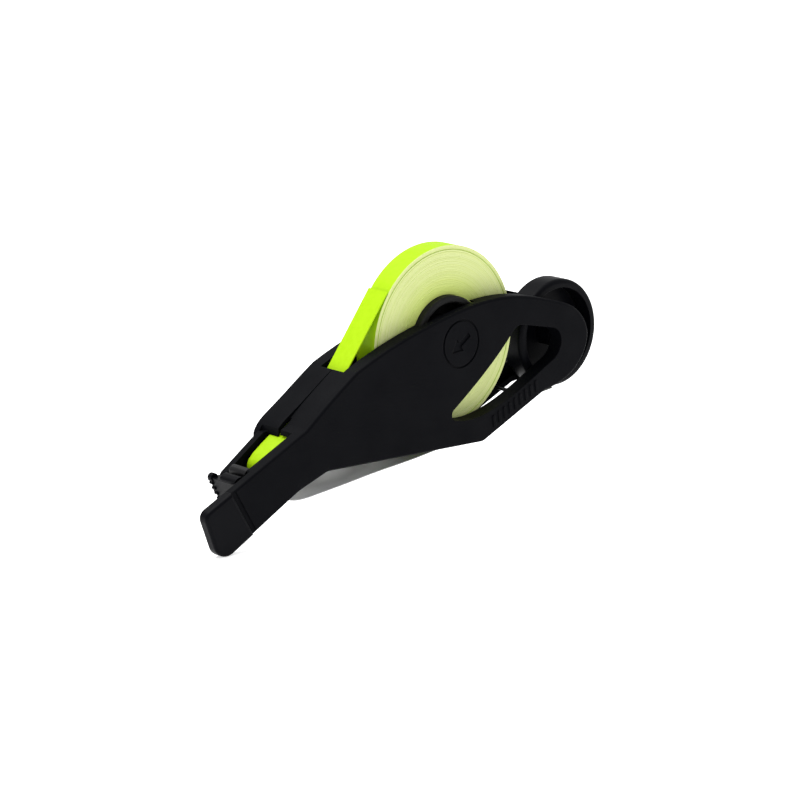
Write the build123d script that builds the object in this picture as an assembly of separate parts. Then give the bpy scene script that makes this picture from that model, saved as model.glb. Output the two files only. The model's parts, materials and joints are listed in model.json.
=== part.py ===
"""Hand-held applicator for thin wheel-rim stripe tape.

Units are millimetres. +X points to the rear of the tool, +Y to its far side and +Z up.
Two half shells meet on the mid-plane, y = 0. Every outline below is a side view measured from the
reel axle, as (x, z) pairs. The finished pieces are moved once, by FRAME, so that the part's origin
lies under the middle of its bounding box.
"""
import os
from math import acos, atan2, cos, degrees, hypot, radians, sin, tan

from build123d import *

# ---------------------------------------------------------------- driving dimensions
TAPE_WIDTH = 7.0
ROLL_RADIUS = 24.0
CORE_RADIUS = 11.3
TAPE_THICKNESS = 0.3
FILM_THICKNESS = 0.2
STRIP_GAP = 0.3             # between a strip and a turning piece that it passes

HALF_WIDTH = 8.5            # mid-plane to a shell's outer face
WALL = 2.3                  # side wall
RIM = 1.6                   # thickness of the rim that stiffens a shell's edge
WINDOW_RIM = 1.1            # thickness of the rim round the window
BRIDGE = 1.2                # thickness of the closed wall over the tape channel
RIM_DEPTH = 4.2             # how far the rim reaches in from the outer face
PARTING_GAP = 0.1           # half of the gap between the two bridge halves
EDGE_ROUND = 0.7
PROUD = 0.4                 # the foot cap stands this far outside the leg's near face
CAP_STEP = 0.5              # the leg's end is this much smaller inside the cap
CAP_ROUND = 0.8
SCREW_SINK = 0.1            # screw heads lie this far below the far wall's face

LEG_ANGLE = 24.5            # leg's slope below the horizontal, degrees
SOCKET = 1.0                # how far a pin enters a side wall
RUNNING = 0.05              # radial clearance of a turning piece on its pin

AXLE_RADIUS = 4.0
WASHER_FACE = 4.2           # mid-plane to the felt washer
SPRING_FACE = 5.0           # mid-plane to the wave spring
WHEEL_CENTRE = (41.9, -4.85)
WHEEL_RADIUS = 14.4
WHEEL_HALF_WIDTH = 3.5
WHEEL_HOLLOW_RADIUS = 12.2
WHEEL_HUB_RADIUS = 3.8
WHEEL_BOSS_RADIUS = 3.4
WHEEL_AXLE_RADIUS = 2.0
PEEL_CENTRE = (-56.9, -24.3)
PEEL_RADIUS = 2.5
PEEL_PIN_RADIUS = 0.9
GUARD_CENTRE = (-64.5, -24.2)
GUARD_RADIUS = 1.5
GUARD_PIN_RADIUS = 0.6
GUARD_BOSS_RADIUS = 1.8
FILM_ROLLER_CENTRE = (7.5, -25.7)
FILM_ROLLER_RADIUS = 1.6
FILM_PIN_RADIUS = 0.8
LINER_PIN_CENTRE = (26.0, -18.5)
LINER_PIN_RADIUS = 0.5
SHOE_PIN_CENTRE = (-66.4, -28.6)
SHOE_PIN_RADIUS = 1.0
SHOE_SIDE = 3.9             # mid-plane to the shoe's near face
ARM_SKIN = 0.4              # the arm's wall left over the end of a pin

FRAME = Location((13.17, 0.2, 41.3))  # reel axle in the part's own frame

# Side-view corners that several pieces share.
THROAT = (-50.7, -14.6)     # top edge meets the leg
KNEE = (-43.8, -26.2)       # belly meets the leg
LEG_BEND = (-53.0, -29.4)   # the leg's lower edge turns down to the foot
FOOT_LOW = (-78.4, -43.0)
FOOT_HIGH = (-83.2, -29.9)
BELLY_REAR = (9.6, -28.0)
REAR_LOW = (32.2, -18.0)
BRIDGE_REAR_X = -35.0
BRIDGE_FRONT_X = -52.6
RIM_FRONT_X = -50.5         # the leg in front of this has a shallower rim
LEG_RIM_FRONT_X = -67.0     # and none in front of this
LEG_RIM_INNER = 5.1         # mid-plane to the inner edge of the leg's rim
FAR_FRONT_X = -54.0
LIP = (-34.9, -5.6)         # where the tape bends into the channel

SCREW_POINTS = [(-29.5, -10.5), (-40.0, -20.5), (-14.0, -24.7), (27.4, 4.1)]
POST_RADIUS = 2.1
SCREW_RADIUS = 0.9
SCREW_HEAD_RADIUS = 1.9

SPLINE_SPANS = 14           # spans of a spline that is redrawn beside another curve

INNER = HALF_WIDTH - WALL           # inner face of a side wall
SCREW_SEAT = HALF_WIDTH - 1.4       # face that the screw heads bear on
RIM_INNER = HALF_WIDTH - RIM_DEPTH  # inner edge of a rim


# ---------------------------------------------------------------- helpers
def side_plane(y):
    """A plane across the tool: its local x runs to the rear and its local y runs up."""
    return Plane(origin=(0, y, 0), x_dir=(1, 0, 0), z_dir=(0, -1, 0))


def slab(profile, y_near, y_far):
    """A side-view profile made solid between two y values."""
    return extrude(side_plane(y_far) * profile, y_far - y_near)


def disc(centre, radius, y_near, y_far):
    return slab(Pos(*centre) * Circle(radius), y_near, y_far)


def ring(centre, outer, inner, y_near, y_far):
    return slab(Pos(*centre) * (Circle(outer) - Circle(inner)), y_near, y_far)


def face_of(*edges):
    return make_face(list(edges))


def inset(face, distance):
    """A face shrunk by a distance, with its curved edges redrawn as plain splines."""
    edges = []
    for edge in offset(face, -distance).face().outer_wire().edges():
        if edge.geom_type in (GeomType.LINE, GeomType.CIRCLE):
            edges.append(edge)
        else:
            steps = range(SPLINE_SPANS + 1)
            edges.append(Spline(*[edge.position_at(step / SPLINE_SPANS) for step in steps]))
    return make_face(edges)


def polygon(*points):
    return make_face(Polyline(*points, close=True))


def round_corners(face, *corners):
    """Round the corners of a flat face that lie nearest to the given points, each by its own radius."""
    for point, radius in corners:
        corner = min(face.vertices(), key=lambda v: hypot(v.X - point[0], v.Y - point[1]))
        face = fillet(corner, radius)
    return face


def along_leg(start, forward, up):
    """Point reached from start by going down the leg and then square to it, away from the ground."""
    angle = radians(LEG_ANGLE)
    return (
        start[0] - forward * cos(angle) - up * sin(angle),
        start[1] - forward * sin(angle) + up * cos(angle),
    )


def outer_edges(solid, y):
    """Edges that lie in the plane of an outer face."""
    return [edge for edge in solid.edges() if abs(edge.bounding_box().min.Y - y) < 0.01
            and abs(edge.bounding_box().max.Y - y) < 0.01]


# ---------------------------------------------------------------- shell outlines
BACK_POINTS = [             # top and rear edge of both shells, from the bridge to the lower rear corner
    (-34.3, -2.7), (-20.0, 2.7), (-6.0, 6.4), (8.0, 8.9), (22.0, 8.7), (36.0, 5.4),
    (44.6, 1.4), (48.0, -5.0), (45.4, -11.9), (39.5, -16.2), REAR_LOW,
]


def near_outline():
    """Near shell: the body and the long leg."""
    bridge = Spline(THROAT, (-45.4, -10.5), (-39.6, -6.3), BACK_POINTS[0])
    face = face_of(
        bridge, Spline(*BACK_POINTS), Line(REAR_LOW, BELLY_REAR), Line(BELLY_REAR, KNEE), Line(KNEE, LEG_BEND),
        Line(LEG_BEND, FOOT_LOW), Line(FOOT_LOW, FOOT_HIGH), Line(FOOT_HIGH, THROAT),
    )
    return round_corners(
        face, (FOOT_LOW, 4.0), (FOOT_HIGH, 2.2), (LEG_BEND, 16.0), (KNEE, 3.0), (BELLY_REAR, 3.0), (THROAT, 3.0),
    )


def far_outline():
    """Far shell: the body alone, with a round front end."""
    top, low = (FAR_FRONT_X, -17.6), (FAR_FRONT_X, -29.2)
    bridge = Spline(top, (-52.2, -14.9), (-49.7, -13.0), (-45.4, -10.2), (-39.6, -6.2), BACK_POINTS[0])
    face = face_of(
        bridge, Spline(*BACK_POINTS), Line(REAR_LOW, BELLY_REAR), Line(BELLY_REAR, KNEE), Line(KNEE, low),
        Line(low, top),
    )
    return round_corners(face, (top, 1.2), (low, 1.2), (KNEE, 3.0), (BELLY_REAR, 3.0))


def arm_outline():
    """Short arm of the far shell that carries the nose."""
    face = polygon(
        (-46.0, -16.0), (-54.0, -16.9), (-58.0, -19.6), (-66.2, -25.3), (-67.3, -31.3), (-60.0, -32.2),
        (-46.0, -26.6),
    )
    return round_corners(face, ((-66.2, -25.3), 1.6), ((-67.3, -31.3), 2.0), ((-60.0, -32.2), 3.0))


def window_outline():
    """Teardrop window in both side walls."""
    upper = Spline((-1.4, -17.9), (8.3, -10.8), (15.8, -4.4), (19.8, -0.4))
    tip = ThreePointArc((19.8, -0.4), (21.3, 0.7), (23.4, 0.9))
    top = Line((23.4, 0.9), (34.4, -1.5))
    heel = Spline((34.4, -1.5), (37.0, -3.1), (37.8, -5.6), (37.0, -8.2), (34.4, -10.4))
    lower = Spline((34.4, -10.4), (23.0, -16.1), (12.0, -20.2), (5.0, -21.3), (0.0, -20.8))
    left = ThreePointArc((0.0, -20.8), (-1.8, -19.6), (-1.4, -17.9))
    return face_of(upper, tip, top, heel, lower, left)


def bridge_band():
    """Side-view band of the closed top wall over the tape channel."""
    drop = 7.0
    return polygon(
        (BRIDGE_REAR_X, 2.0), (BRIDGE_REAR_X, -3.2 - drop), (BRIDGE_FRONT_X, -16.0 - drop), (BRIDGE_FRONT_X, -12.0),
    )


# ---------------------------------------------------------------- shells
PIN_BOSSES = [              # centre, pin radius, boss radius
    (PEEL_CENTRE, PEEL_PIN_RADIUS, 2.2),
    (FILM_ROLLER_CENTRE, FILM_PIN_RADIUS, 1.8),
    (LINER_PIN_CENTRE, LINER_PIN_RADIUS, 1.2),
    (SHOE_PIN_CENTRE, SHOE_PIN_RADIUS, 2.0),
]


def in_front_of(x):
    """Everything in front of a line across the tool."""
    return polygon((x, 20.0), (x, -60.0), (-100.0, -60.0), (-100.0, 20.0))


def shell_blank(outline, y_out, y_in, y_rim, y_bridge):
    """One shell's wall, rims and half of the bridge. The y values run from outside to inside."""
    near, far = min(y_out, y_in), max(y_out, y_in)
    wall = slab(outline, near, far)
    wall = fillet(outer_edges(wall, y_out), EDGE_ROUND)
    wall -= slab(window_outline(), near - 1, far + 1)
    window_band = inset(window_outline(), -WINDOW_RIM) - window_outline()
    band = outline - inset(outline, RIM) - in_front_of(RIM_FRONT_X) + (window_band & outline)
    band -= Circle(CORE_RADIUS + 0.7)
    rim = slab(band, min(y_in, y_rim), max(y_in, y_rim))
    cover = (outline - inset(outline, BRIDGE)) & bridge_band()
    bridge = slab(cover, min(y_in, y_bridge), max(y_in, y_bridge))
    return wall + rim + bridge


def near_shell():
    """Near half: wall, rims, leg, screw posts and pin bosses."""
    outline = near_outline()
    shell = shell_blank(outline, -HALF_WIDTH, -INNER, -RIM_INNER, -PARTING_GAP)
    leg_band = (outline - inset(outline, RIM)) & in_front_of(RIM_FRONT_X + 0.1)
    shell += slab(leg_band - in_front_of(LEG_RIM_FRONT_X), -INNER - 0.1, -LEG_RIM_INNER)
    shell -= slab(foot_region(), -HALF_WIDTH - 1, 0)
    shell -= slab(Pos(1.2, 0.5) * foot_region(), -HALF_WIDTH - 1, -HALF_WIDTH + 0.35)
    shell += leg_end()
    for point in SCREW_POINTS:
        shell += disc(point, POST_RADIUS, -INNER - 0.1, RIM_INNER)
        shell -= disc(point, SCREW_RADIUS - 0.1, -INNER + 2, INNER)
    for centre, pin, boss in PIN_BOSSES:
        shell += disc(centre, boss, -INNER - 0.1, -RIM_INNER)
        shell -= disc(centre, pin, -INNER - SOCKET, 0)
    shell += disc(GUARD_CENTRE, GUARD_BOSS_RADIUS, -INNER - 0.1, -RIM_INNER)
    shell -= disc(GUARD_CENTRE, GUARD_PIN_RADIUS, -INNER - SOCKET, 0)
    shell += disc(WHEEL_CENTRE, WHEEL_BOSS_RADIUS, -INNER - 0.1, -RIM_INNER)
    shell -= disc(WHEEL_CENTRE, WHEEL_AXLE_RADIUS, -INNER - SOCKET, 0)
    shell -= disc((0, 0), AXLE_RADIUS, -INNER - SOCKET, 0)
    shell -= parting_notch()
    shell -= feed_mark()
    for rib in grip_ribs():
        shell += rib
    return shell


def far_shell():
    """Far half: wall, rim, nose arm and the screws' clearance holes."""
    shell = shell_blank(far_outline(), HALF_WIDTH, INNER, RIM_INNER, PARTING_GAP)
    shell += slab(arm_outline(), RIM_INNER, INNER + 0.1)
    for point in SCREW_POINTS:
        shell += disc(point, POST_RADIUS, RIM_INNER, INNER + 0.1)
        shell -= disc(point, SCREW_RADIUS + 0.15, 0, HALF_WIDTH + 1)
        shell -= disc(point, SCREW_HEAD_RADIUS + 0.15, SCREW_SEAT, HALF_WIDTH + 1)
    for centre, pin, boss in PIN_BOSSES:
        shell += disc(centre, boss, RIM_INNER, INNER + 0.1)
        depth = INNER - ARM_SKIN if centre in (PEEL_CENTRE, SHOE_PIN_CENTRE) else INNER + SOCKET
        shell -= disc(centre, pin, 0, depth)
    shell += disc(WHEEL_CENTRE, WHEEL_BOSS_RADIUS, RIM_INNER, INNER + 0.1)
    shell -= disc(WHEEL_CENTRE, WHEEL_AXLE_RADIUS, 0, INNER + SOCKET)
    shell -= disc((0, 0), AXLE_RADIUS, 0, INNER + SOCKET)
    return shell


def parting_notch():
    """Wider gap between the two halves at the bridge's front end."""
    front = polygon((-48.2, -8.0), (-50.0, -22.0), (-56.0, -22.0), (-56.0, -8.0))
    return slab(front, -0.8, 0.0)


def foot_region():
    """Everything in front of the line where the foot cap ends."""
    return polygon((-75.2, -24.8), (-67.2, -38.7), (-70.0, -60.0), (-100.0, -60.0), (-100.0, -15.0))


def feed_mark():
    """Shallow ring and feed arrow, sunk into the near wall."""
    depth = 0.35
    centre = Pos(1.2, -0.8)
    groove = centre * (Circle(6.4) - Circle(5.8))
    arrow = centre * Rot(0, 0, 35) * polygon(
        (3.6, 0.7), (-0.4, 0.7), (-0.4, 2.0), (-3.8, 0.0), (-0.4, -2.0), (-0.4, -0.7), (3.6, -0.7),
    )
    return slab(groove + arrow, -HALF_WIDTH, -HALF_WIDTH + depth)


def grip_ribs():
    """Row of low ribs along the lower rear edge."""
    count = 9
    height = 0.25
    start = (13.2, -23.2)
    slope = atan2(REAR_LOW[1] - BELLY_REAR[1], REAR_LOW[0] - BELLY_REAR[0])
    ribs = []
    for index in range(count):
        reach = 2.1 * index
        place = Pos(start[0] + reach * cos(slope), start[1] + reach * sin(slope))
        rib = place * Rot(0, 0, degrees(slope) + 75) * SlotOverall(3.4, 0.9)
        ribs.append(slab(rib, -HALF_WIDTH - height, -HALF_WIDTH + 0.1))
    return ribs


def leg_end():
    """The leg's stepped-down end, which fills the foot cap."""
    profile = inset(near_outline(), CAP_STEP) & foot_region()
    return slab(profile, -HALF_WIDTH + CAP_STEP, -INNER - CAP_STEP)


def foot_cap():
    """Sleeve over the leg's end: the gauge foot that runs against the rim's edge."""
    sleeve = slab(near_outline() & foot_region(), -HALF_WIDTH - PROUD, -INNER)
    sleeve = fillet(outer_edges(sleeve, -HALF_WIDTH - PROUD), CAP_ROUND)
    return sleeve - leg_end()


# ---------------------------------------------------------------- reel
def tape_roll():
    return ring((0, 0), ROLL_RADIUS, CORE_RADIUS, -TAPE_WIDTH / 2, TAPE_WIDTH / 2)


def reel_core():
    """Core: outer sleeve, web and hub."""
    length = 5.7
    sleeve_wall = 1.8
    hub_radius = 6.2
    sleeve = ring((0, 0), CORE_RADIUS, CORE_RADIUS - sleeve_wall, -length, length)
    sleeve = chamfer(outer_edges(sleeve, -length), 0.4)
    web = ring((0, 0), CORE_RADIUS - sleeve_wall + 0.1, hub_radius - 0.2, -0.9, 0.9)
    hub = ring((0, 0), hub_radius, AXLE_RADIUS + RUNNING, -5.2, WASHER_FACE)
    return sleeve + web + hub


def reel_axle():
    bore = 2.4
    return ring((0, 0), AXLE_RADIUS, bore, -INNER - SOCKET, INNER + SOCKET)


def felt_washer():
    return ring((0, 0), 6.0, AXLE_RADIUS + 0.1, WASHER_FACE, SPRING_FACE)


def wave_spring():
    """Thin spring ring that loads the felt washer against the core."""
    return ring((0, 0), 5.8, AXLE_RADIUS + 0.2, SPRING_FACE, INNER - 0.2)


# ---------------------------------------------------------------- rollers and rear wheel
def roller(centre, radius, pin, half_length):
    return ring(centre, radius, pin + RUNNING, -half_length, half_length)


def through_pin(centre, radius, y_far):
    return disc(centre, radius, -INNER - SOCKET, y_far)


def guard_pin():
    """Pin held in the leg alone, with a head that keeps the guard roller on."""
    seat = 3.1
    stem = disc(GUARD_CENTRE, GUARD_PIN_RADIUS, -INNER - SOCKET, seat + 0.1)
    head = disc(GUARD_CENTRE, GUARD_PIN_RADIUS + 0.4, seat, seat + 0.6)
    return stem + head


def rear_wheel():
    """Hollow wheel, open on the near side, with a web on the far side."""
    wide = WHEEL_HALF_WIDTH
    web_face = 1.6
    drum = disc(WHEEL_CENTRE, WHEEL_RADIUS, -wide, wide)
    drum = fillet(outer_edges(drum, -wide), 1.2)
    drum = fillet(outer_edges(drum, wide), 0.8)
    drum -= ring(WHEEL_CENTRE, WHEEL_HOLLOW_RADIUS, WHEEL_HUB_RADIUS, -wide - 1, web_face)
    return drum - disc(WHEEL_CENTRE, WHEEL_AXLE_RADIUS + RUNNING, -wide - 1, wide + 1)


def wheel_axle():
    return disc(WHEEL_CENTRE, WHEEL_AXLE_RADIUS, -INNER - SOCKET, INNER + SOCKET)


def wheel_washers():
    near, far = WHEEL_HALF_WIDTH + 0.2, RIM_INNER - 0.1
    return Compound([
        ring(WHEEL_CENTRE, WHEEL_BOSS_RADIUS, WHEEL_AXLE_RADIUS + 0.1, -far, -near),
        ring(WHEEL_CENTRE, WHEEL_BOSS_RADIUS, WHEEL_AXLE_RADIUS + 0.1, near, far),
    ])


# ---------------------------------------------------------------- nose
SHOE_TOP = (-71.5, -24.9)   # front face, top and bottom
SHOE_TOE = (-68.1, -31.4)
PAD_FRONT = (-67.3, -31.3)


def press_shoe():
    """Shoe in front of the peel roller: smooth round crest, low back, and a ridged edge with an ear."""
    side = SHOE_SIDE
    ridge_count = 4
    block = polygon(
        SHOE_TOP, SHOE_TOE, PAD_FRONT, along_leg(PAD_FRONT, -6.2, 0), (-62.6, -26.8), (-66.2, -26.8), (-68.0, -25.0),
    )
    body = slab(block, -side, RIM_INNER)
    flange = polygon(SHOE_TOP, SHOE_TOE, (SHOE_TOE[0] - 0.2, -30.4), (-68.9, -27.8), (-69.6, -25.2))
    body += slab(flange, -INNER + 0.3, -side + 0.1)
    for index in range(ridge_count):
        share = (index + 1) / (ridge_count + 0.5)
        ridge = [top + (toe - top) * share for top, toe in zip(SHOE_TOP, SHOE_TOE)]
        body += disc(ridge, 0.45, 3.2, RIM_INNER)
    ear, crest = (-70.6, -25.0), (-68.2, -26.1)
    body += disc(ear, 1.1, 2.9, RIM_INNER)
    body += disc(crest, 2.2, -side - 0.2, 1.6)
    body -= disc(GUARD_CENTRE, GUARD_RADIUS + 0.35, -side - 1, RIM_INNER + 1)
    body -= disc(PEEL_CENTRE, PEEL_RADIUS + 1.1, -side - 1, RIM_INNER + 1)
    return body - disc(SHOE_PIN_CENTRE, SHOE_PIN_RADIUS, -side - 1, RIM_INNER + 1)


def press_pad():
    """Soft pad under the shoe that rubs the tape down."""
    length, depth = 5.9, 1.2
    rear = along_leg(PAD_FRONT, -length, 0)
    pad = polygon(PAD_FRONT, along_leg(PAD_FRONT, 0, -depth), along_leg(rear, 0, -depth), rear)
    return slab(pad, -TAPE_WIDTH / 2, TAPE_WIDTH / 2)


# ---------------------------------------------------------------- strips
def heading_point(centre, radius, heading):
    """Point on a circle where a path turning anticlockwise round it has a given heading."""
    angle = radians(heading)
    return (centre[0] + radius * sin(angle), centre[1] - radius * cos(angle))


def tape_route():
    """Middle line of the tape from the roll, under the bridge and round the peel roller."""
    reach = ROLL_RADIUS + STRIP_GAP + TAPE_THICKNESS / 2
    leave = 450 + degrees(atan2(LIP[1], LIP[0]) - acos(reach / hypot(*LIP)))
    start = heading_point((0, 0), reach, leave)
    radius = PEEL_RADIUS + 0.2 + TAPE_THICKNESS / 2
    touch = heading_point(PEEL_CENTRE, radius, 226)
    front = heading_point(PEEL_CENTRE, radius, 270)
    end = heading_point(PEEL_CENTRE, radius, 305)
    channel = Spline(
        LIP, (-39.0, -8.8), (-46.0, -13.3), (-52.4, -17.6), touch,
        tangents=[(cos(radians(leave)), sin(radians(leave))), (cos(radians(226)), sin(radians(226)))],
    )
    return [Line(start, LIP), channel, ThreePointArc(touch, front, end)]


def bend(start, heading, goal, goal_heading):
    """Arc from a start, and the straight run that follows it to a goal. Headings are in degrees."""
    first, last = radians(heading), radians(goal_heading)
    across = (goal[0] - start[0]) * sin(last) - (goal[1] - start[1]) * cos(last)
    reach = across / sin(last - first)
    radius = reach / tan((last - first) / 2)
    centre = (start[0] - radius * sin(first), start[1] + radius * cos(first))
    middle = heading_point(centre, radius, (heading + goal_heading) / 2)
    end = heading_point(centre, radius, goal_heading)
    return [ThreePointArc(start, middle, end), Line(end, goal)]


def arc_to(start, heading, goal):
    """Arc that leaves a start with a heading in degrees and ends at a goal."""
    dx, dz = goal[0] - start[0], goal[1] - start[1]
    chord = atan2(dz, dx)
    radius = hypot(dx, dz) / (2 * sin(chord - radians(heading)))
    centre = (start[0] - radius * sin(radians(heading)), start[1] + radius * cos(radians(heading)))
    return ThreePointArc(start, heading_point(centre, radius, degrees(chord)), goal)


def film_route():
    """Middle line of the bare film from the peel roller back to the rear wheel."""
    leave, arrive = -53.0, 7.3              # headings off the peel roller and on to the film roller
    rise = 23.0                             # heading off the film roller
    start = heading_point(PEEL_CENTRE, PEEL_RADIUS + 0.2 + TAPE_THICKNESS / 2, leave)
    reach = FILM_ROLLER_RADIUS + 0.15 + FILM_THICKNESS / 2
    under = heading_point(FILM_ROLLER_CENTRE, reach, arrive)
    middle = heading_point(FILM_ROLLER_CENTRE, reach, (arrive + rise) / 2)
    under_end = heading_point(FILM_ROLLER_CENTRE, reach, rise)
    finish = heading_point(WHEEL_CENTRE, WHEEL_RADIUS + STRIP_GAP + FILM_THICKNESS / 2, -8.0)
    return [
        *bend(start, leave, under, arrive), ThreePointArc(under, middle, under_end),
        arc_to(under_end, rise, finish),
    ]


def beside(edge, distance):
    """The line, arc or spline that runs beside an edge, a distance to its left."""
    spans = {GeomType.LINE: 1, GeomType.CIRCLE: 2}.get(edge.geom_type, SPLINE_SPANS)
    points = []
    for index in range(spans + 1):
        place = edge.position_at(index / spans)
        heading = edge.tangent_at(index / spans)
        points.append((place.X - heading.Y * distance, place.Y + heading.X * distance))
    if spans == 1:
        return Line(*points)
    if spans == 2:
        return ThreePointArc(*points)
    return Spline(*points, tangents=[edge.tangent_at(0), edge.tangent_at(1)])


def strip(route, thickness):
    """Ribbon of the tape's width that follows a route."""
    left = [beside(edge, thickness / 2) for edge in route]
    right = [beside(edge, -thickness / 2) for edge in route]
    start = Line(left[0].position_at(0), right[0].position_at(0))
    end = Line(left[-1].position_at(1), right[-1].position_at(1))
    return slab(make_face([*left, end, *right, start]), -TAPE_WIDTH / 2, TAPE_WIDTH / 2)


def guide_ramp():
    """Floor of the tape channel, with a fence each side and two tabs between the side walls."""
    floor = polygon((-36.2, -8.0), (-51.8, -18.1), (-50.8, -19.6), (-35.2, -9.6))
    fence = polygon((-37.5, -9.4), (-51.0, -18.3), (-50.0, -16.6), (-38.5, -8.9))
    tab = polygon((-38.5, -10.1), (-43.5, -13.3), (-42.7, -14.5), (-37.7, -11.3))
    body = slab(floor, -4.2, 4.2) + slab(tab, -INNER, INNER)
    for side in (-1, 1):
        inner, outer = side * 3.7, side * 4.2
        body += slab(fence, min(inner, outer), max(inner, outer))
    return body


# ---------------------------------------------------------------- fasteners
def shell_screws():
    """Screws from the far side into the near shell's posts."""
    screws = []
    for point in SCREW_POINTS:
        shank = disc(point, SCREW_RADIUS - 0.1, -2.0, SCREW_SEAT)
        head = disc(point, SCREW_HEAD_RADIUS, SCREW_SEAT, HALF_WIDTH - SCREW_SINK)
        recess = disc(point, 0.8, HALF_WIDTH - 0.8, HALF_WIDTH - SCREW_SINK)
        screws.append(shank + head - recess)
    return Compound(screws)


# ---------------------------------------------------------------- assembly
def all_pieces():
    arm_pin_end = INNER - ARM_SKIN
    return {
        "near_shell": near_shell(),
        "far_shell": far_shell(),
        "foot_cap": foot_cap(),
        "shell_screws": shell_screws(),
        "reel_axle": reel_axle(),
        "reel_core": reel_core(),
        "tape_roll": tape_roll(),
        "felt_washer": felt_washer(),
        "wave_spring": wave_spring(),
        "guide_ramp": guide_ramp(),
        "tape_lead": strip(tape_route(), TAPE_THICKNESS),
        "backing_film": strip(film_route(), FILM_THICKNESS),
        "peel_roller": roller(PEEL_CENTRE, PEEL_RADIUS, PEEL_PIN_RADIUS, 3.7),
        "peel_pin": through_pin(PEEL_CENTRE, PEEL_PIN_RADIUS, arm_pin_end),
        "guard_roller": roller(GUARD_CENTRE, GUARD_RADIUS, GUARD_PIN_RADIUS, 3.0),
        "guard_pin": guard_pin(),
        "film_roller": roller(FILM_ROLLER_CENTRE, FILM_ROLLER_RADIUS, FILM_PIN_RADIUS, 3.8),
        "film_roller_pin": through_pin(FILM_ROLLER_CENTRE, FILM_PIN_RADIUS, INNER + SOCKET),
        "liner_guide_pin": through_pin(LINER_PIN_CENTRE, LINER_PIN_RADIUS, INNER + SOCKET),
        "rear_wheel": rear_wheel(),
        "wheel_axle": wheel_axle(),
        "wheel_washers": wheel_washers(),
        "press_shoe": press_shoe(),
        "press_pad": press_pad(),
        "shoe_pin": through_pin(SHOE_PIN_CENTRE, SHOE_PIN_RADIUS, arm_pin_end),
    }


def main():
    os.makedirs("parts", exist_ok=True)
    pieces = {name: FRAME * piece for name, piece in all_pieces().items()}
    for name, piece in pieces.items():
        export_step(piece, f"parts/{name}.step")
    box = Compound(list(pieces.values())).bounding_box()
    print("box", box.min, box.max)


main()
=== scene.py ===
import json
import math
import random

import bpy
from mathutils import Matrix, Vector


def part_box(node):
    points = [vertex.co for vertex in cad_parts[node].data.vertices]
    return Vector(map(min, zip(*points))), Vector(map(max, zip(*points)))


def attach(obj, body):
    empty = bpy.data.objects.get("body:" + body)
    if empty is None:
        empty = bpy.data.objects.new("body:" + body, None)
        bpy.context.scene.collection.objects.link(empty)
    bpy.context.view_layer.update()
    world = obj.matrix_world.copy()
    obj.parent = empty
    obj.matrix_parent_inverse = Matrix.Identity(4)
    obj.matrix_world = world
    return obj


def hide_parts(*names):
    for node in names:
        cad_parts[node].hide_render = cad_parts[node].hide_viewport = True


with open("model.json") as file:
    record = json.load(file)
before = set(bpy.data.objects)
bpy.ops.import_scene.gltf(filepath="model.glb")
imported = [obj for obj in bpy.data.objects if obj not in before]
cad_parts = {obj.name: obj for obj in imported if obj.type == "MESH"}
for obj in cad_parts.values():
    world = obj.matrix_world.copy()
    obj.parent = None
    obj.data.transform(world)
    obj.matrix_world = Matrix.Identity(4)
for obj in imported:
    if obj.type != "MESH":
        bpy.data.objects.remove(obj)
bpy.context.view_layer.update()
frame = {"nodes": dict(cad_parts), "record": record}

MM = 0.001
nodes = frame["nodes"]
rng = random.Random(7)

# A Mix node has sockets of one name for each data type. These are the ones for colours.
MIX_COLOURS = slice(6, 8)
MIX_RESULT = 2


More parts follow.
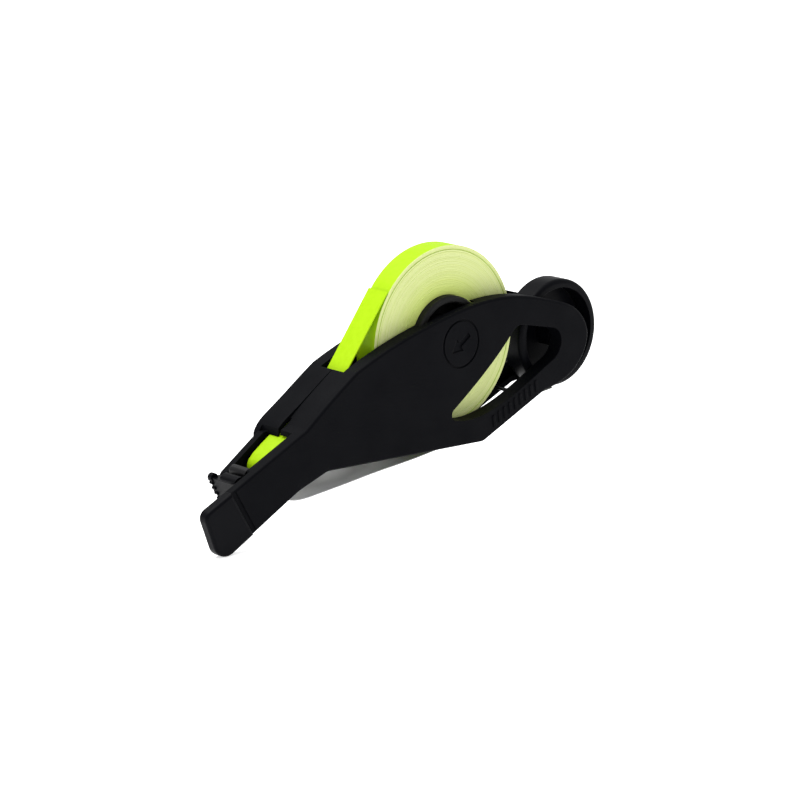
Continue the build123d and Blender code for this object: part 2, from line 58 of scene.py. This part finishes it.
# ---------------------------------------------------------------- materials
class Look:
    """A procedural material, with short ways to add nodes to it."""

    def __init__(self, name, colour, roughness, specular=0.5, metallic=0.0):
        self.material = bpy.data.materials.new(name)
        self.material.use_nodes = True
        self.tree = self.material.node_tree
        self.shader = self.tree.nodes["Principled BSDF"]
        self.shader.inputs["Base Color"].default_value = (*colour, 1)
        self.shader.inputs["Roughness"].default_value = roughness
        self.shader.inputs["Specular IOR Level"].default_value = specular
        self.shader.inputs["Metallic"].default_value = metallic
        self.coords = self.add("ShaderNodeTexCoord").outputs["Object"]
        self.normal = None

    def add(self, kind, **values):
        node = self.tree.nodes.new(kind)
        for name, value in values.items():
            setattr(node, name, value)
        return node

    def link(self, output, socket):
        if hasattr(output, "links"):
            self.tree.links.new(output, socket)
        else:
            socket.default_value = output

    def along_x(self):
        """Place along the tool, in millimetres."""
        node = self.add("ShaderNodeSeparateXYZ")
        self.link(self.coords, node.inputs[0])
        return self.maths("MULTIPLY", node.outputs[0], 1 / MM)

    def maths(self, operation, a, b=0.0, c=0.0):
        node = self.add("ShaderNodeMath", operation=operation)
        for socket, value in zip(node.inputs, (a, b, c)):
            self.link(value, socket)
        return node.outputs[0]

    def stretched(self, scale):
        """Object coordinates scaled along each axis, to draw a texture out."""
        node = self.add("ShaderNodeMapping")
        self.link(self.coords, node.inputs["Vector"])
        node.inputs["Scale"].default_value = scale
        return node.outputs[0]

    def noise(self, size, detail=3.0, stretch=None, rough=0.5):
        """Noise whose features are about size millimetres across."""
        node = self.add("ShaderNodeTexNoise")
        self.link(self.stretched(stretch) if stretch else self.coords, node.inputs["Vector"])
        node.inputs["Scale"].default_value = 1 / (size * MM)
        node.inputs["Detail"].default_value = detail
        node.inputs["Roughness"].default_value = rough
        return node.outputs["Fac"]

    def span(self, value, low, high, to_low=0.0, to_high=1.0):
        """A value's range from low to high, mapped to another range and clamped."""
        node = self.add("ShaderNodeMapRange")
        for socket, number in zip(node.inputs, (value, low, high, to_low, to_high)):
            self.link(number, socket)
        return node.outputs[0]

    def mix(self, factor, a, b):
        """A colour between a and b, each a colour or a socket."""
        node = self.add("ShaderNodeMix", data_type="RGBA")
        self.link(factor, node.inputs["Factor"])
        for socket, value in zip(node.inputs[MIX_COLOURS], (a, b)):
            self.link(value if hasattr(value, "links") else (*value, 1), socket)
        return node.outputs[MIX_RESULT]

    def edges(self, radius, low=0.02, high=0.25):
        """1 along edges sharper than a radius in millimetres, and 0 on flats."""
        bevel = self.add("ShaderNodeBevel", samples=4)
        bevel.inputs["Radius"].default_value = radius * MM
        dot = self.add("ShaderNodeVectorMath", operation="DOT_PRODUCT")
        self.link(bevel.outputs[0], dot.inputs[0])
        self.link(self.add("ShaderNodeNewGeometry").outputs["Normal"], dot.inputs[1])
        return self.span(self.maths("SUBTRACT", 1.0, dot.outputs["Value"]), low, high)

    def soften(self, radius):
        """Round the shading over sharp edges by a radius in millimetres."""
        bevel = self.add("ShaderNodeBevel", samples=6)
        bevel.inputs["Radius"].default_value = radius * MM
        self.normal = bevel.outputs[0]

    def bump(self, height, depth, strength=1.0):
        """Bump of a height from 0 to 1, whose full depth is in millimetres."""
        node = self.add("ShaderNodeBump")
        node.inputs["Strength"].default_value = strength
        node.inputs["Distance"].default_value = depth * MM
        self.link(height, node.inputs["Height"])
        if self.normal:
            self.link(self.normal, node.inputs["Normal"])
        self.normal = node.outputs[0]
        self.link(self.normal, self.shader.inputs["Normal"])

    def colour(self, value):
        self.link(value, self.shader.inputs["Base Color"])

    def roughness(self, value):
        self.link(value, self.shader.inputs["Roughness"])


def moulded(name, dark, light, rough, grain, worn, specular=0.3):
    """Moulded plastic: eroded-die grain, slow colour drift, rubbed edges and faint scratches."""
    look = Look(name, dark, rough, specular)
    look.soften(0.22)
    drift = look.span(look.noise(14, 4), 0.3, 0.7)
    base = look.mix(drift, dark, light)
    patches = look.span(look.noise(1.6, 5), 0.35, 0.65)
    rubbed = look.maths("MULTIPLY", look.edges(0.5), patches)
    look.colour(look.mix(look.maths("MULTIPLY", rubbed, 0.6), base, worn))
    scratch = look.span(look.noise(0.5, 2, (0.12, 1.0, 1.6)), 0.62, 0.72)
    wear = look.maths("MULTIPLY", rubbed, -0.16)
    handled = look.span(look.noise(9, 3), 0.3, 0.7, rough - 0.06, rough + 0.06)
    marked = look.maths("ADD", wear, look.maths("MULTIPLY", scratch, 0.08))
    look.roughness(look.maths("ADD", handled, marked))
    look.bump(look.noise(0.28, 3, rough=0.6), grain)
    look.bump(look.noise(6, 2), 0.02, 0.5)
    return look


def steel(name, colour, rough):
    """Ground steel, with fine turning marks."""
    look = Look(name, colour, rough, 0.5, 1.0)
    marks = look.noise(0.12, 3, (1.0, 0.2, 1.0))
    stains = look.span(look.noise(1.5, 4), 0.3, 0.7)
    look.colour(look.mix(stains, colour, [c * 0.7 for c in colour]))
    look.roughness(look.span(marks, 0.3, 0.7, rough - 0.08, rough + 0.1))
    look.bump(marks, 0.006)
    return look


def felt(name, colour):
    """Pressed felt, with fibres that run a little longer across the tool."""
    look = Look(name, colour, 0.95, 0.1)
    fibres = look.noise(0.15, 5, (1.0, 0.5, 1.0), 0.7)
    dark, light = [c * 0.6 for c in colour], [c * 1.6 for c in colour]
    look.colour(look.mix(look.span(fibres, 0.3, 0.7), dark, light))
    look.shader.inputs["Sheen Weight"].default_value = 0.4
    look.bump(fibres, 0.08)
    return look


def radius_from(look, x, z):
    """Distance of a point from an axis along Y, in millimetres."""
    centre = look.add("ShaderNodeVectorMath", operation="SUBTRACT")
    look.link(look.coords, centre.inputs[0])
    centre.inputs[1].default_value = (x, 0, z)
    flat = look.add("ShaderNodeVectorMath", operation="MULTIPLY")
    look.link(centre.outputs[0], flat.inputs[0])
    flat.inputs[1].default_value = (1 / MM, 0, 1 / MM)
    length = look.add("ShaderNodeVectorMath", operation="LENGTH")
    look.link(flat.outputs[0], length.inputs[0])
    return length.outputs["Value"]


# Sizes that the CAD gives. Radii and the tape's half width are in millimetres.
roll_low, roll_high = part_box("tape_roll")
core_low, core_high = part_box("reel_core")
REEL = (roll_low + roll_high) / 2
ROLL_RADIUS = (roll_high.x - roll_low.x) / 2 / MM
CORE_RADIUS = (core_high.x - core_low.x) / 2 / MM
TAPE_HALF = (roll_high.y - roll_low.y) / 2 / MM

LAST_WRAPS = ROLL_RADIUS - 1.1      # where the last few wraps begin
WRAP_LINE = 0.16                    # half width of the dark line that marks them


def tape_top():
    """Fluorescent vinyl of the tape's outer face."""
    look = Look("tape_outer", (0.38, 0.63, 0.003), 0.5, 0.08)
    streak = look.span(look.noise(1.4, 3), 0.3, 0.7)
    look.colour(look.mix(streak, (0.365, 0.61, 0.002), (0.395, 0.645, 0.006)))
    look.roughness(look.span(look.noise(0.6, 3), 0.3, 0.7, 0.4, 0.52))
    look.bump(look.noise(0.35, 3), 0.004)
    return look


def tape_side():
    """Cut edges of the windings: fine rings of vinyl and paler backing, with painted shade towards
    the core.
    """
    look = Look("tape_windings", (0.6, 0.68, 0.3), 0.7, 0.2)
    radius = radius_from(look, REEL.x, REEL.z)
    ring = look.add("ShaderNodeTexNoise", noise_dimensions="1D")
    look.link(radius, ring.inputs["W"])
    ring.inputs["Scale"].default_value = 3.2
    ring.inputs["Detail"].default_value = 2.0
    slow = look.add("ShaderNodeTexNoise", noise_dimensions="1D")
    look.link(radius, slow.inputs["W"])
    slow.inputs["Scale"].default_value = 0.55
    rings = look.span(ring.outputs["Fac"], 0.3, 0.7)
    fine = look.mix(rings, (0.60, 0.68, 0.23), (0.70, 0.76, 0.36))
    bands = look.span(slow.outputs["Fac"], 0.35, 0.65, 0.0, 0.5)
    pale = look.mix(bands, fine, (0.68, 0.74, 0.36))
    # painted shade: the windings turn darker and more olive towards the core
    core_shade = look.span(radius, 12.0, 19.0)
    body = look.mix(core_shade, (0.56, 0.66, 0.17), pale)
    away = look.maths("ABSOLUTE", look.maths("SUBTRACT", radius, LAST_WRAPS))
    line = look.maths("LESS_THAN", away, WRAP_LINE)
    look.colour(look.mix(look.maths("MULTIPLY", line, 0.45), body, (0.40, 0.52, 0.08)))
    look.bump(ring.outputs["Fac"], 0.05)
    look.bump(look.noise(0.3, 3), 0.01)
    return look


def film():
    """Grey liner: pale at the front with a painted glow standing in for light, darker to the rear as
    painted shade under the body, with cloudy haze.
    """
    look = Look("film_liner", (0.2, 0.2, 0.2), 0.35, 0.3)
    cloud = look.span(look.noise(8, 3), 0.3, 0.7)
    # painted shade: the liner turns dark towards the rear, where it runs under the body
    rear = look.span(look.along_x(), REEL.x / MM - 30, REEL.x / MM + 8)
    front = look.mix(cloud, (0.70, 0.70, 0.71), (0.78, 0.78, 0.77))
    look.colour(look.mix(rear, front, (0.085, 0.09, 0.07)))
    # painted light: the front of the liner glows by emission, though it is no lamp
    painted_glow = look.mix(rear, (0.05, 0.05, 0.05), (0.0, 0.0, 0.0))
    look.link(painted_glow, look.shader.inputs["Emission Color"])
    look.shader.inputs["Emission Strength"].default_value = 1.0
    look.roughness(look.span(look.noise(2, 3), 0.3, 0.7, 0.28, 0.42))
    look.bump(look.noise(1.2, 2, (0.3, 1, 1)), 0.006)
    return look


SLOTS = {
    "shell_black": moulded(
        "shell_plastic", (0.0017, 0.0019, 0.0029), (0.0024, 0.0026, 0.0037),
        rough=0.55, grain=0.012, worn=(0.007, 0.007, 0.008), specular=0.035),
    "cap_black": moulded(
        "cap_plastic", (0.0014, 0.0015, 0.0026), (0.0020, 0.0022, 0.0034),
        rough=0.38, grain=0.008, worn=(0.006, 0.006, 0.007), specular=0.045),
    "core_black": moulded(
        "core_plastic", (0.006, 0.0062, 0.006), (0.009, 0.0092, 0.009),
        rough=0.5, grain=0.01, worn=(0.015, 0.015, 0.015), specular=0.12),
    "tape_yellow": tape_top(),
    "film_grey": film(),
    "roller_black": moulded(
        "roller_acetal", (0.005, 0.005, 0.006), (0.008, 0.008, 0.009),
        rough=0.3, grain=0.004, worn=(0.012, 0.012, 0.012), specular=0.15),
    "pin_steel": steel("ground_steel", (0.5, 0.5, 0.5), 0.3),
    "felt_grey": felt("felt", (0.05, 0.05, 0.05)),
    "pad_rubber": moulded(
        "pad_foam_rubber", (0.02, 0.02, 0.02), (0.03, 0.03, 0.03),
        rough=0.8, grain=0.03, worn=(0.04, 0.04, 0.04), specular=0.2),
    "screw_steel": steel("black_oxide_steel", (0.03, 0.03, 0.033), 0.4),
}
slot_of = {part["node"]: part["material_slot"] for part in frame["record"]["subparts"]}
for name, node in nodes.items():
    node.data.materials.clear()
    node.data.materials.append(SLOTS[slot_of[name]].material)


# ---------------------------------------------------------------- pieces
SHARP_DEG = 30              # edges sharper than this stay sharp


def piece(name, verts, faces, body, slot, replaced):
    """A smooth mesh piece that rides on a body and replaces a CAD node. Places are in millimetres."""
    mesh = bpy.data.meshes.new(name)
    mesh.from_pydata([Vector(v) * MM for v in verts], [], faces)
    mesh.materials.append(SLOTS[slot].material)
    for polygon in mesh.polygons:
        polygon.use_smooth = True
    mesh.set_sharp_from_angle(angle=math.radians(SHARP_DEG))
    obj = bpy.data.objects.new(name, mesh)
    bpy.context.scene.collection.objects.link(obj)
    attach(obj, body)
    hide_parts(replaced)
    return obj


def lathe(centre, profile, steps):
    """Rings of points turned round an axis along Y, from a closed profile of (radius, y) pairs."""
    verts = []
    for step in range(steps):
        turn = 2 * math.pi * step / steps
        for radius, y in profile:
            verts.append((centre.x / MM + radius * math.cos(turn), centre.y / MM + y,
                          centre.z / MM + radius * math.sin(turn)))
    count = len(profile)
    faces = []
    for step in range(steps):
        here, there = step * count, (step + 1) % steps * count
        for index in range(count):
            after = (index + 1) % count
            faces.append((here + index, here + after, there + after, there + index))
    return verts, faces


WRAP_WIDTHS = (0.26, 0.62)  # narrowest and widest group of wraps
WRAP_STEP = 0.07            # how far a group may stand in from the widest one
WRAP_ROUND = 0.05           # chamfer of a group's edges
GROOVE_DEPTH = 0.16         # groove in front of the last wraps
GROOVE = (0.01, 0.12)       # where the groove begins and ends, beyond LAST_WRAPS
AFTER_GROOVE = 0.13         # radius that the groove takes up
CORE_GAP = 0.02             # between the core and the first wraps
LAST_START = 0.35           # no group begins nearer than this to the roll's outer face
RIM_START = 0.26            # where the groups give way to the roll's rounded outer edge
RIM_EDGE = ((0.25, 0.0), (0.06, 0.02), (0.0, 0.12))     # its points, in from the radius and the side
ROLL_STEPS = 192


def wrap_group(radius, width, face):
    """Profile of one group of wraps, with small chamfers."""
    end, low = radius + width, face - WRAP_ROUND
    return [(radius, low), (radius + WRAP_ROUND, face), (end - WRAP_ROUND, face), (end, low)]


def wound_roll():
    """The roll with its windings: each group of wraps stands a little in or out of the next."""
    side = []
    radius = CORE_RADIUS + CORE_GAP
    while radius < ROLL_RADIUS - LAST_START:
        width = rng.uniform(*WRAP_WIDTHS)
        if radius < LAST_WRAPS < radius + width:
            width = LAST_WRAPS - radius
        face = TAPE_HALF - rng.uniform(0.0, WRAP_STEP)
        side += wrap_group(radius, width, face)
        if abs(radius + width - LAST_WRAPS) < 0.01:
            side += [(LAST_WRAPS + place, face - GROOVE_DEPTH) for place in GROOVE]
            width += AFTER_GROOVE
        radius += width
    side = [(r, y) for r, y in side if r < ROLL_RADIUS - RIM_START]
    side += [(ROLL_RADIUS - inward, TAPE_HALF - down) for inward, down in RIM_EDGE]
    profile = side + [(r, -y) for r, y in reversed(side)]
    verts, faces = lathe(REEL, profile, ROLL_STEPS)
    roll = piece("wound_roll", verts, faces, "reel", "tape_yellow", "tape_roll")
    roll.data.materials.append(tape_side().material)
    for polygon in roll.data.polygons:
        faces_sideways = abs(polygon.normal.y) > 0.5
        polygon.material_index = 1 if faces_sideways else 0


def smooth_line(points, per_span):
    """Points of a Catmull-Rom line through given points."""
    line = []
    padded = [points[0], *points, points[-1]]
    for a, b, c, d in zip(padded, padded[1:], padded[2:], padded[3:]):
        for step in range(per_span):
            t = step / per_span
            line.append(tuple(
                0.5 * (2 * b[k] + (c[k] - a[k]) * t + (2 * a[k] - 5 * b[k] + 4 * c[k] - d[k]) * t ** 2
                       + (3 * b[k] - a[k] - 3 * c[k] + d[k]) * t ** 3) for k in (0, 1)))
    return line + [points[-1]]


# Side view of the liner from the peel roller to the rear wheel, in millimetres from the reel axle.
LINER = [
    (-59.15, -26.05), (-57.2, -28.6), (-54.9, -31.3), (-52.6, -32.8), (-49.8, -33.4), (-46.3, -33.4),
    (-42.6, -33.05), (-32.8, -32.1), (-23.9, -31.1), (-10.4, -29.9), (0.0, -28.6), (7.75, -27.53),
    (8.3, -27.38), (15.0, -24.8), (23.4, -22.25), (31.0, -20.6), (36.0, -19.9), (39.8, -19.5),
]
LINER_THICKNESS = 0.2
LINER_ACROSS = 12           # strips across the liner
LINER_PER_SPAN = 6          # points between two given ones
LIFT = 2.6                  # how far the liner's far edge curls up
LIFT_PLACE = -33.0          # where it curls up most, from the reel axle
LIFT_REACH = 7.5            # how far along the tool the curl spreads
CURL_FROM = 0.45            # share of the width that stays flat


def liner_curl(x, share):
    """How far the liner curls up at a place along it and a share of its width."""
    along = math.exp(-((x - LIFT_PLACE) / LIFT_REACH) ** 2)
    return LIFT * along * max(share - CURL_FROM, 0) ** 2 / (1 - CURL_FROM) ** 2


def liner():
    """The bare film: a thin ribbon whose far edge curls up where it hangs free."""
    line = smooth_line(LINER, LINER_PER_SPAN)
    sections = []
    for index, (x, z) in enumerate(line):
        before, after = line[max(index - 1, 0)], line[min(index + 1, len(line) - 1)]
        run = Vector((after[0] - before[0], after[1] - before[1])).normalized()
        upper, lower = [], []
        for step in range(LINER_ACROSS + 1):
            share = step / LINER_ACROSS
            curl = liner_curl(x, share)
            y = (2 * share - 1) * TAPE_HALF
            for side, sign in ((upper, 1), (lower, -1)):
                half = sign * LINER_THICKNESS / 2
                side.append((REEL.x / MM + x - run.y * half,
                             REEL.y / MM + y,
                             REEL.z / MM + z + run.x * half + curl))
        sections.append(upper + lower[::-1])
    count = len(sections[0])
    verts = [point for section in sections for point in section]
    last = len(verts) - count
    faces = [tuple(range(count)), tuple(reversed(range(last, len(verts))))]
    for row in range(len(sections) - 1):
        here, there = row * count, (row + 1) * count
        for index in range(count):
            after = (index + 1) % count
            faces.append((here + after, here + index, there + index, there + after))
    piece("film_liner", verts, faces, "body", "film_grey", "backing_film")


wound_roll()
liner()


# ---------------------------------------------------------------- studio
FLOOR_HALF = 12.0           # metres
FLOOR_GLOW = 0.6
WORLD_STRENGTH = 0.75

# The camera was solved from the roll's ellipse in the photo.
CAMERA_PLACE = (-0.4748, -0.5172, 0.2004)
CAMERA_LOOKS = (0.6571, 0.7145, -0.2402)
CAMERA_LENS, CAMERA_SENSOR = 128, 36


def floor():
    """White paper that glows a little, so that it stays white round the tool."""
    mesh = bpy.data.meshes.new("floor")
    corners = ((-1, -1), (1, -1), (1, 1), (-1, 1))
    mesh.from_pydata([(FLOOR_HALF * x, FLOOR_HALF * y, 0) for x, y in corners], [], [(0, 1, 2, 3)])
    sheet = bpy.data.objects.new("floor", mesh)
    bpy.context.scene.collection.objects.link(sheet)
    look = Look("floor_paper", (0.86, 0.86, 0.86), 0.9, 0.1)
    look.shader.inputs["Emission Color"].default_value = (1, 1, 1, 1)
    look.shader.inputs["Emission Strength"].default_value = FLOOR_GLOW
    mottle = look.span(look.noise(600, 3), 0.3, 0.7)
    look.colour(look.mix(mottle, (0.86, 0.86, 0.86), (0.88, 0.88, 0.88)))
    mesh.materials.append(look.material)


def softbox(name, place, aim, size, power):
    """A rectangular lamp, with its place and size in metres and its power in watts."""
    data = bpy.data.lights.new(name, "AREA")
    data.shape = "RECTANGLE"
    data.size, data.size_y = size
    data.energy = power
    lamp = bpy.data.objects.new(name, data)
    lamp.location = place
    lamp.rotation_euler = (Vector(aim) - Vector(place)).to_track_quat("-Z", "Y").to_euler()
    bpy.context.scene.collection.objects.link(lamp)


def studio():
    """An even white surround and one soft lamp above."""
    world = bpy.data.worlds.new("studio")
    bpy.context.scene.world = world
    world.use_nodes = True
    background = world.node_tree.nodes["Background"]
    background.inputs["Color"].default_value = (1, 1, 1, 1)
    background.inputs["Strength"].default_value = WORLD_STRENGTH
    softbox("top_box", (-0.15, 0.25, 0.9), (0, 0, 0.03), (0.8, 0.8), 9)
    bpy.context.scene.view_settings.view_transform = "Standard"


def camera():
    """The photo's camera."""
    data = bpy.data.cameras.new("camera")
    data.lens = CAMERA_LENS
    data.sensor_width = CAMERA_SENSOR
    data.clip_start = 0.01
    data.clip_end = 50
    eye = bpy.data.objects.new("camera", data)
    eye.location = CAMERA_PLACE
    eye.rotation_mode = "QUATERNION"
    eye.rotation_quaternion = Vector(CAMERA_LOOKS).to_track_quat("-Z", "Y")
    bpy.context.scene.collection.objects.link(eye)
    bpy.context.scene.camera = eye


floor()
studio()
camera()
